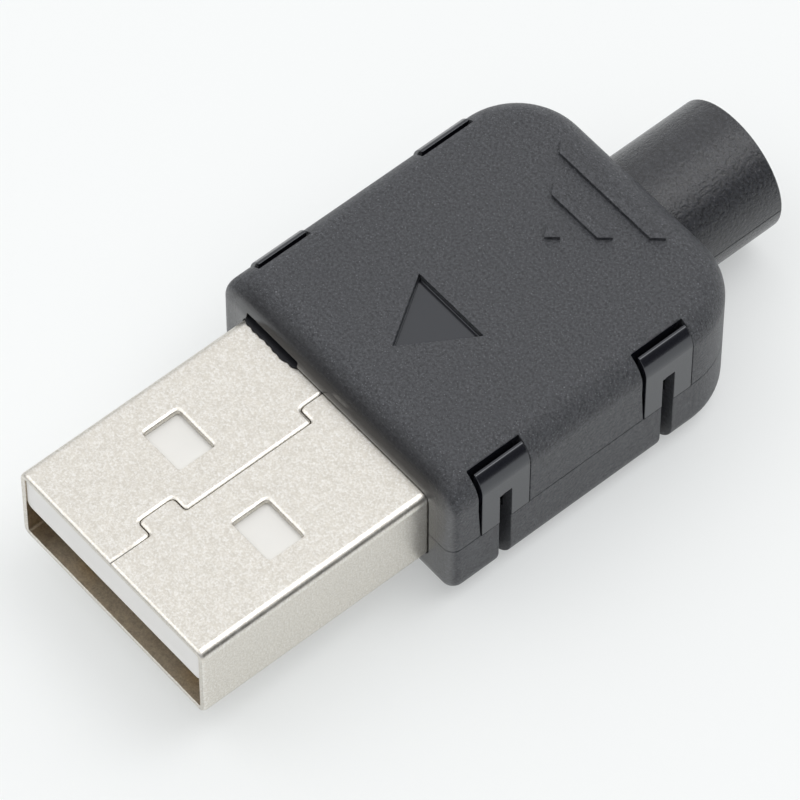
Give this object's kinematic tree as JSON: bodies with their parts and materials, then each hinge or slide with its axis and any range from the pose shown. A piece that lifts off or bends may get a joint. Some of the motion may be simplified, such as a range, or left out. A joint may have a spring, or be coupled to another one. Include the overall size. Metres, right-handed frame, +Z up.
{
  "type": "usb-a plug",
  "caption": "Flat metal plug with a white tongue and flat contacts, in a black two-part snap housing with a round cable collar.",
  "frame": {"origin": "middle of the whole length and width, on the flat underside of the housing", "axes": "-Y is the plugging direction, +Y the way the cable leaves, +Z up from the underside of the housing"},
  "size_m": [0.0152, 0.0346, 0.0082],
  "materials": {
    "nickel_sheet": "nickel plated, satin with fine drawing lines",
    "white_pbt": "moulded, satin",
    "contact_plating": "gold flashed, bright",
    "black_plastic": "fine spark-eroded grain, smooth on the latch loops"
  },
  "bodies": {
    "root": {"plug_shell": "nickel_sheet", "insulator": "white_pbt", "contact_power": "contact_plating", "contact_data_minus": "contact_plating", "contact_data_plus": "contact_plating", "contact_ground": "contact_plating", "upper_housing": "black_plastic", "lower_housing": "black_plastic"}
  },
  "joints": []
}
